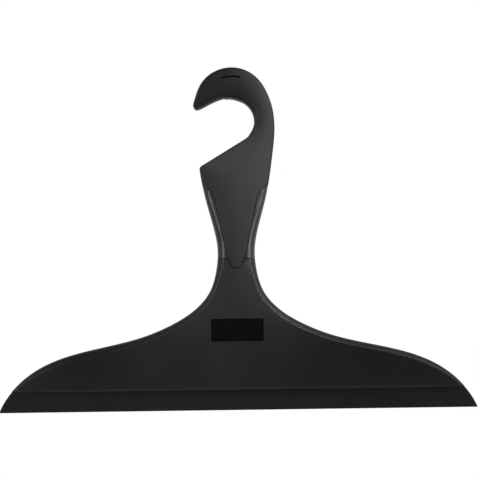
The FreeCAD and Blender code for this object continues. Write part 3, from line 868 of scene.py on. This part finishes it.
def fitted(piece, material, slot, body, *nodes):
    """Gives a piece its material and its body, and hides the frame nodes that it stands for. The slot is not
    used.
    """
    piece.data.materials.append(material)
    if body:
        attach(piece, body)
    if nodes:
        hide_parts(*nodes)
    return piece


# ==== Properties ====

def length(name, description, default):
    return FloatProperty(name=name, description=description, default=default, min=0, unit="LENGTH",
                         precision=5)


def fraction(name, description, default):
    return FloatProperty(name=name, description=description, default=default, min=0, max=1,
                         subtype="FACTOR")


def color(name, description, default):
    return FloatVectorProperty(name=name, description=description, default=default, min=0, max=1,
                               size=3, subtype="COLOR")


def angle(name, description, degrees):
    return FloatProperty(name=name, description=description, default=math.radians(degrees), unit="ROTATION")


def power(name, default):
    return FloatProperty(name=name, description="Power of the light", default=default, min=0, unit="POWER")


def grey(level):
    return (level, level, level)


class SqueegeeSizes(bpy.types.PropertyGroup):
    head_round: length("Head edge round", "Width of the round along the shoulders", 2.8 * MM)
    end_round: length("Head end round", "Width of the round at the ends of the mouth", 1.2 * MM)
    neck_round: length("Neck edge round", "Width of the round where the grips meet the head", 4.0 * MM)
    mouth_round: length("Mouth edge round", "Width of the round above the blade", 0.4 * MM)
    handle_round: length("Handle edge round", "Width of the round along the palm and the hook", 1.4 * MM)
    grip_round: length("Grip edge round", "Width of the round at the grips' upper ends", 2.9 * MM)
    pad_round: length("Hook inner round", "Width of the soft edge beside the hook's pad", 2.7 * MM)
    throat_round: length("Throat edge round", "Width of the round along the throat", 1.0 * MM)
    seam_round: length("Seam round", "Width of the round where pieces meet on a face", 0.3 * MM)
    parting_groove: length("Parting groove", "Depth of the line between front and rear shells", 0.15 * MM)
    crown: fraction("Crown", "Share of the thickness that the faces lose at the silhouette", 0.17)
    crown_width: length("Crown width", "How far in from the silhouette the faces curve", 20.0 * MM)
    soft_from: angle("Soft edge start", "About the rod, where the hook's inner edge starts to soften", -25.0)
    soft_full: angle("Soft edge full", "About the rod, where the hook's inner edge is at its softest", 45.0)
    latch_length: length("Latch slit length", "Length of the slit in the hook's top", 11.5 * MM)
    latch_width: length("Latch slit width", "Width of the slit in the hook's top", 0.8 * MM)
    screw_radius: length("Screw head radius", "Radius of the screws' heads", 2.6 * MM)
    screw_recess: length("Screw recess", "Depth of the screws' heads below the rear faces", 0.6 * MM)


class SqueegeeLooks(bpy.types.PropertyGroup):
    plastic: color("Plastic", "Colour of the moulded shells", grey(0.004))
    grain_light: color("Grain light", "Colour of the raised grain", grey(0.012))
    dust: color("Dust", "Colour of the film of dust", grey(0.35))
    worn: color("Worn edge", "Colour of plastic polished by handling", grey(0.06))
    elastomer: color("Elastomer", "Colour of the grips and of the hook's pad", grey(0.014))
    rubber: color("Rubber", "Colour of the blade", grey(0.006))
    badge: color("Badge", "Colour of the badge", grey(0.004))
    steel: color("Steel", "Colour of the screws", (0.55, 0.55, 0.56))
    floor: color("Floor", "Colour of the studio floor", (0.82, 0.81, 0.79))
    plastic_roughness: fraction("Plastic roughness", "Roughness of the shells", 0.48)
    plastic_specular: fraction("Plastic specular", "Specular level of the shells", 0.5)
    elastomer_roughness: fraction("Elastomer roughness", "Roughness of the grips", 0.34)
    elastomer_specular: fraction("Elastomer specular", "Specular level of the grips and the pad", 0.9)
    rubber_roughness: fraction("Rubber roughness", "Roughness of the blade", 0.55)
    rubber_specular: fraction("Rubber specular", "Specular level of the blade", 0.4)


class SqueegeeStudio(bpy.types.PropertyGroup):
    distance: length("Camera distance", "From the camera to the plane of the squeegee", 0.6)
    lens: FloatProperty(name="Lens", description="Focal length", default=76.9, unit="CAMERA")
    roll: angle("Roll", "Turn of the camera about its axis", -0.79)
    aim: FloatVectorProperty(name="Aim", description="Point that the camera faces, as X and Z", size=2,
                             default=(3.4 * MM, -69.4 * MM), unit="LENGTH")
    right_light: power("Right light", 4.3)
    left_light: power("Left light", 4.2)
    top_light: power("Top light", 2.4)
    low_light: power("Low light", 0.8)
    back_light: power("Backdrop light", 12.0)
    handle_light: power("Handle light", 60.0)
    surround: fraction("Surround", "Light from all round the studio", 0.015)
    floor_drop: length("Floor drop", "From the blade's edge down to the floor", 0.6)


# ==== Operators ====

class Builder:
    """What the builders share: each has build(sizes, looks, scene), whose errors stop the operator."""

    def execute(self, context):
        scene = context.scene
        self.build(scene.squeegee_sizes, scene.squeegee_looks, scene)
        return {"FINISHED"}


def head_plastic(looks):
    return plastic("Head plastic", looks, 0.75, 0.09 * MM, 0.55, 0.35)


def handle_plastic(looks):
    return plastic("Handle plastic", looks, 0.45, 0.05 * MM, 0.3, 0.35)


def screw_pockets(places, sizes):
    radius = sizes.screw_radius + SCREW_GAP
    return [Recess(place, (radius, radius), radius, sizes.screw_recess + SCREW_HEAD, chamfer=0.25 * MM)
            for place in places]


def shell_pair(part, sizes, material, edges, face, back, front_recess, screws, rows=()):
    """Front and rear shells over one outline: a recess in the front, and screw pockets in the rear."""
    for side, name, recesses in ((FRONT, part + "_front", [front_recess]),
                                 (REAR, part + "_rear", screw_pockets(screws, sizes))):
        shell = plate(name, edges, lambda p: face(p, sizes), back, side, recesses, rows,
                      groove=sizes.parting_groove)
        fitted(shell, material, part + "_plastic", "frame", name + "_shell")


def parting(points):
    return np.zeros(len(points))


def mouth_channel(points):
    """Back of a head shell: open beside the blade at the mouth, and closed above it."""
    rise = np.clip((points[:, 1] - MOUTH_Z - 2.0 * MM) / (2.0 * MM), 0, 1)
    return 2.4 * MM * (1 - rise)


class SQUEEGEE_OT_head(Builder, bpy.types.Operator):
    """Builds the front and rear shells of the head"""
    bl_idname = "squeegee.head"
    bl_label = "Head shells"

    def build(self, sizes, looks, scene):
        edges = head_outline(sizes)
        center = ((badge_low.x + badge_high.x) / 2, (badge_low.z + badge_high.z) / 2)
        half = ((badge_high.x - badge_low.x) / 2 + 0.1 * MM, (badge_high.z - badge_low.z) / 2 + 0.1 * MM)
        badge_pocket = Recess(center, half, corner=0.5 * MM, depth=1.7 * MM, chamfer=0.15 * MM)
        rows = [(x, MOUTH_Z + up) for up in (2.0 * MM, 4.0 * MM)
                for x in np.arange(MIDDLE - MOUTH_HALF, MIDDLE + MOUTH_HALF, GRID)]
        material = shared_material("Head plastic", head_plastic, looks)
        shell_pair("head", sizes, material, edges, head_face, mouth_channel, badge_pocket, HEAD_SCREWS, rows)


class SQUEEGEE_OT_handle(Builder, bpy.types.Operator):
    """Builds the front and rear shells of the handle with its hook"""
    bl_idname = "squeegee.handle"
    bl_label = "Handle shells"

    def build(self, sizes, looks, scene):
        edges = handle_outline(sizes)
        slit = Recess(LATCH_PLACE, (sizes.latch_length / 2, sizes.latch_width / 2),
                      corner=0.3 * MM, depth=2.4 * MM, chamfer=0.12 * MM, bow=0.02 / MM)
        material = shared_material("Handle plastic", handle_plastic, looks)
        shell_pair("handle", sizes, material, edges, handle_face, parting, slit, HANDLE_SCREWS)


class SQUEEGEE_OT_grips(Builder, bpy.types.Operator):
    """Builds the soft grips on both sides of the neck"""
    bl_idname = "squeegee.grips"
    bl_label = "Side grips"

    def build(self, sizes, looks, scene):
        for right, name in ((False, "grip_left"), (True, "grip_right")):
            edges = grip_outline(sizes, right)
            grip = plate(name + "_soft", edges, lambda p: handle_face(p, sizes),
                         lambda p: edge_drop(p, edges) - handle_face(p, sizes), spacing=1.6 * MM)
            material = shared_material("Grip elastomer", elastomer, "Grip elastomer", looks,
                                       looks.elastomer_roughness)
            fitted(grip, material, "grip_elastomer", "frame", name)


class SQUEEGEE_OT_pad(Builder, bpy.types.Operator):
    """Builds the pad that lines the hook where it rests on the rod"""
    bl_idname = "squeegee.pad"
    bl_label = "Hook pad"

    def build(self, sizes, looks, scene):
        beak = curve(beak_underside(SEAT_RADIUS, PAD_ANGLES[1]), 15, BEAK_UNDERSIDE[0][0] - 90)
        seat = arc(np.zeros(2), SEAT_RADIUS, BEAK_UNDERSIDE[0][0], PAD_ANGLES[0])[1:]
        ending = 1 - eased(np.degrees(np.arctan2(seat[:, 1], seat[:, 0])), PAD_ANGLES[0], PAD_ANGLES[0] + 14)
        seat *= 1 + ending[:, None] * (WALL_RADIUS / SEAT_RADIUS - 1)
        path = np.vstack([beak, seat])
        along = np.gradient(path, axis=0)
        ways = np.stack((-along[:, 1], along[:, 0]), axis=1) / np.linalg.norm(along, axis=1)[:, None]
        section = Recess((0, PAD_THICKNESS / 2), (PAD_HALF, PAD_THICKNESS / 2), corner=0.3 * MM).loop(0)
        strip = bar("hook_liner", path, ways, section, 0.1 * MM)
        material = shared_material("Pad elastomer", elastomer, "Pad elastomer", looks, 0.5)
        fitted(strip, material, "pad_elastomer", "frame", "hook_pad")


def blade_face(points):
    """Half thickness of the blade: thin at the wiping edge, even at the stem, and wide at the bead."""
    up = (points[:, 1] - EDGE_Z) / (HINGE_Z - EDGE_Z)
    face = LIP_FACE + (ROOT_FACE - LIP_FACE) * np.clip(up, 0, 1)
    return np.where(points[:, 1] > BEAD_Z, BEAD_FACE, face)


class SQUEEGEE_OT_blade(Builder, bpy.types.Operator):
    """Builds the rubber blade, which is clamped at its bead and thin at the mouth, where the real blade bends
    """
    bl_idname = "squeegee.blade"
    bl_label = "Blade"

    def build(self, sizes, looks, scene):
        corner, mouth_end = np.array((BLADE_HALF, EDGE_Z)), np.array((MOUTH_HALF - 0.1 * MM, MOUTH_Z))
        rise = mouth_end - corner
        outward = np.array((rise[1], -rise[0])) / np.linalg.norm(rise)
        end = arc_through(corner, (corner + mouth_end) / 2 + outward * LIP_END_BULGE, mouth_end)
        right = [mouth_end, (MOUTH_HALF - 1.4 * MM, HINGE_Z), (MOUTH_HALF - 2.4 * MM, HINGE_Z + 1.2 * MM),
                 (ROOT_HALF, HINGE_Z + 1.3 * MM), (ROOT_HALF, ROOT_TOP_Z)]
        side = np.vstack([end[:-1]] + [line(a, b)[:-1] for a, b in zip(right, right[1:])] + [right[-1:]])
        side += (MIDDLE, 0)
        left = mirrored(side)
        edges = outline([(side, 0.15 * MM), (line(side[-1], left[0], 4 * MM), 0.2 * MM), (left, 0.15 * MM),
                         (line(left[-1], side[0], 2 * MM), 0.12 * MM)])
        heights = list(np.arange(1.2, 15.6, 0.8)) + [16.1, 16.2, 18.0]
        rows = [(x, EDGE_Z + z * MM) for z in heights
                for x in np.arange(MIDDLE - BLADE_HALF, MIDDLE + BLADE_HALF, 2 * MM)]
        blade = plate("blade", edges, blade_face, lambda p: edge_drop(p, edges) - blade_face(p),
                      rows=rows, spacing=1.0)
        fitted(blade, shared_material("Blade rubber", blade_rubber, looks), "blade_rubber", None,
               "blade_root", "blade_lip")
        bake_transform(blade)


def water_drops(points, center):
    """Relief of three water drops in a row, the middle one larger."""
    relief = np.zeros(len(points))
    for across, tall in ((-6.5, 4.8), (0, 6.6), (6.5, 4.8)):
        aside = np.abs(points[:, 0] - center[0] - across * MM) / MM
        fallen = np.clip(0.5 + (center[1] - points[:, 1]) / MM / tall, 0, 1)
        half = 0.85 * tall * fallen * np.sqrt(1 - fallen)
        relief = np.maximum(relief, 0.2 * MM * eased(half - aside, 0, 0.6))
    return relief


class SQUEEGEE_OT_badge(Builder, bpy.types.Operator):
    """Builds the glossy badge, with a raised border and three water drops in place of any mark"""
    bl_idname = "squeegee.badge"
    bl_label = "Badge"

    def build(self, sizes, looks, scene):
        low, high = np.array((badge_low.x, badge_low.z)), np.array((badge_high.x, badge_high.z))
        center, half = (low + high) / 2, (high - low) / 2
        loop = Recess(center, half, corner=0.5 * MM).loop(0)
        edges = outline([(np.vstack([loop, loop[:1]]), 0.2 * MM)])
        panel = Recess(center, half - 0.9 * MM, corner=0.4 * MM, depth=0.15 * MM, chamfer=0.05 * MM)

        def front(points):
            flat = MOUTH_FACE + HEAD_FLARE * (points[:, 1] - MOUTH_Z)
            return flat - 0.5 * MM + water_drops(points, center)

        plaque = plate("badge", edges, front, lambda p: front(p) - 1.2 * MM, recesses=[panel],
                       spacing=0.45 * MM)
        fitted(plaque, shared_material("Badge gloss", badge_gloss, looks), "badge_gloss", "frame",
               "badge_plate")


class SQUEEGEE_OT_screws(Builder, bpy.types.Operator):
    """Builds the cross-head screws that hold the shells together from the rear"""
    bl_idname = "squeegee.screws"
    bl_label = "Screws"

    def build(self, sizes, looks, scene):
        places = [("head", place, head_face) for place in HEAD_SCREWS]
        places += [("handle", place, handle_face) for place in HANDLE_SCREWS]
        for number, (part, place, face) in enumerate(places, 1):
            circle = arc(np.array(place), sizes.screw_radius, 0, 360)
            edges = outline([(circle, 0.5 * MM)])
            top = face(np.array([place]), sizes)[0] - sizes.screw_recess
            slots = [Recess(place, half, corner=0.05 * MM, depth=1.0 * MM, chamfer=0.04 * MM)
                     for half in ((1.6 * MM, 0.35 * MM), (0.35 * MM, 1.6 * MM))]

            def shank(points, top=top, place=place):
                away = np.linalg.norm(points - place, axis=1)
                return np.where(away < 1.35 * MM, 1.6 * MM - top, top - SCREW_HEAD)

            shank_loop = arc(np.array(place), 1.3 * MM, 0, 351)
            rim_loop = arc(np.array(place), 1.4 * MM, 0, 351)
            screw = plate("%s_screw_%d" % (part, number), edges, lambda p: np.full(len(p), top), shank,
                          REAR, slots, np.vstack([shank_loop, rim_loop]), spacing=1.0)
            fitted(screw, shared_material("Screw steel", screw_steel, looks), "screw_steel", "frame",
                   part + "_screws")


def area_light(name, place, target, size, power):
    data = bpy.data.lights.new(name, "AREA")
    data.shape, data.size, data.size_y, data.energy = "RECTANGLE", size[0], size[1], power
    light = bpy.data.objects.new(name, data)
    light.location = place
    light.visible_camera = False
    light.rotation_euler = (Vector(target) - Vector(place)).to_track_quat("-Z", "Y").to_euler()
    bpy.context.scene.collection.objects.link(light)


class SQUEEGEE_OT_studio(Builder, bpy.types.Operator):
    """Sets up the pale floor, the white surround and backdrop, the soft lights and the camera"""
    bl_idname = "squeegee.studio"
    bl_label = "Studio"

    def build(self, sizes, looks, scene):
        studio = scene.squeegee_studio
        self.floor(studio, looks)
        self.surround(scene, studio)
        middle = (MIDDLE, 0, -0.07)
        for name, place, size, watts in (
                ("Right softbox", (0.9, -0.35, 0.1), (0.35, 0.9), studio.right_light),
                ("Left softbox", (-0.85, -0.5, 0.1), (0.35, 0.9), studio.left_light),
                ("Top softbox", (0.5, -0.35, 0.7), (0.9, 0.35), studio.top_light),
                ("Low softbox", (-0.2, -0.6, -0.7), (0.9, 0.3), studio.low_light),
                ("Backdrop", (0.0, 0.7, -0.1), (3.0, 2.2), studio.back_light)):
            area_light(name, place, middle, size, watts)
        self.handle_light(studio)
        self.camera(scene, studio)

    def handle_light(self, studio):
        """A soft lamp with a hood, which lights the hook and the neck and leaves the head darker."""
        data = bpy.data.lights.new("Handle lamp", "SPOT")
        data.energy, data.shadow_soft_size = studio.handle_light, 0.04
        data.spot_size, data.spot_blend = math.radians(7.2), 0.6
        lamp = bpy.data.objects.new("Handle lamp", data)
        lamp.location = (0.35, -0.74, 0.53)
        toward = Vector((0.005, 0, -0.062)) - lamp.location
        lamp.rotation_euler = toward.to_track_quat("-Z", "Y").to_euler()
        bpy.context.scene.collection.objects.link(lamp)

    def floor(self, studio, looks):
        half, height, thick = 1.6, EDGE_Z - studio.floor_drop, 0.02
        work = bmesh.new()
        bmesh.ops.create_cube(work, size=2.0)
        bmesh.ops.scale(work, vec=(half, half, thick / 2), verts=work.verts)
        bmesh.ops.translate(work, vec=(0, 0, height - thick / 2), verts=work.verts)
        bmesh.ops.bevel(work, geom=work.edges, offset=thick / 4, segments=3, affect="EDGES")
        mesh = bpy.data.meshes.new("studio_floor")
        work.to_mesh(mesh)
        work.free()
        slab = bpy.data.objects.new("studio_floor", mesh)
        bpy.context.scene.collection.objects.link(slab)
        mesh.materials.append(studio_floor(looks))

    def surround(self, scene, studio):
        world = bpy.data.worlds.new("Studio surround")
        world.use_nodes = True
        tree = Tree(world.node_tree)
        seen = tree.add("ShaderNodeBackground", Color=(1, 1, 1, 1), Strength=1.0).outputs[0]
        felt = tree.add("ShaderNodeBackground", Color=(1, 1, 1, 1), Strength=studio.surround).outputs[0]
        camera_ray = tree.add("ShaderNodeLightPath").outputs["Is Camera Ray"]
        mixed = tree.add("ShaderNodeMixShader", i0=camera_ray, i1=felt, i2=seen).outputs[0]
        tree.add("ShaderNodeOutputWorld", Surface=mixed)
        scene.world = world
        scene.view_settings.view_transform = "Standard"

    def camera(self, scene, studio):
        data = bpy.data.cameras.new("Camera")
        data.lens, data.sensor_width = studio.lens, 36.0
        camera = bpy.data.objects.new("Camera", data)
        level = Matrix.Rotation(math.pi / 2, 4, "X") @ Matrix.Rotation(studio.roll, 4, "Z")
        place = Matrix.Translation((studio.aim[0], -studio.distance, studio.aim[1]))
        camera.matrix_world = place @ level
        scene.collection.objects.link(camera)
        scene.camera = camera


# ==== Panel and registration ====

BUILDERS = (SQUEEGEE_OT_head, SQUEEGEE_OT_handle, SQUEEGEE_OT_grips, SQUEEGEE_OT_pad, SQUEEGEE_OT_blade,
            SQUEEGEE_OT_badge, SQUEEGEE_OT_screws, SQUEEGEE_OT_studio)


class SQUEEGEE_PT_panel(bpy.types.Panel):
    """Lists the squeegee's builders and their sizes and colours"""
    bl_idname = "SQUEEGEE_PT_panel"
    bl_label = "Window squeegee"
    bl_space_type = "VIEW_3D"
    bl_region_type = "UI"
    bl_category = "Squeegee"

    def draw(self, context):
        for builder in BUILDERS:
            self.layout.operator(builder.bl_idname)
        for group in GROUPS:
            box = self.layout.box()
            settings = getattr(context.scene, group)
            for name in GROUPS[group].__annotations__:
                box.prop(settings, name)


GROUPS = {"squeegee_sizes": SqueegeeSizes, "squeegee_looks": SqueegeeLooks, "squeegee_studio": SqueegeeStudio}


def register():
    for cls in (*GROUPS.values(), *BUILDERS, SQUEEGEE_PT_panel):
        bpy.utils.register_class(cls)
    for name, cls in GROUPS.items():
        setattr(bpy.types.Scene, name, PointerProperty(type=cls))


def unregister():
    for name in GROUPS:
        delattr(bpy.types.Scene, name)
    for cls in reversed((*GROUPS.values(), *BUILDERS, SQUEEGEE_PT_panel)):
        bpy.utils.unregister_class(cls)


def main():
    register()
    for builder in BUILDERS:
        group, name = builder.bl_idname.split(".")
        getattr(getattr(bpy.ops, group), name)()


if __name__ == "__main__":
    main()
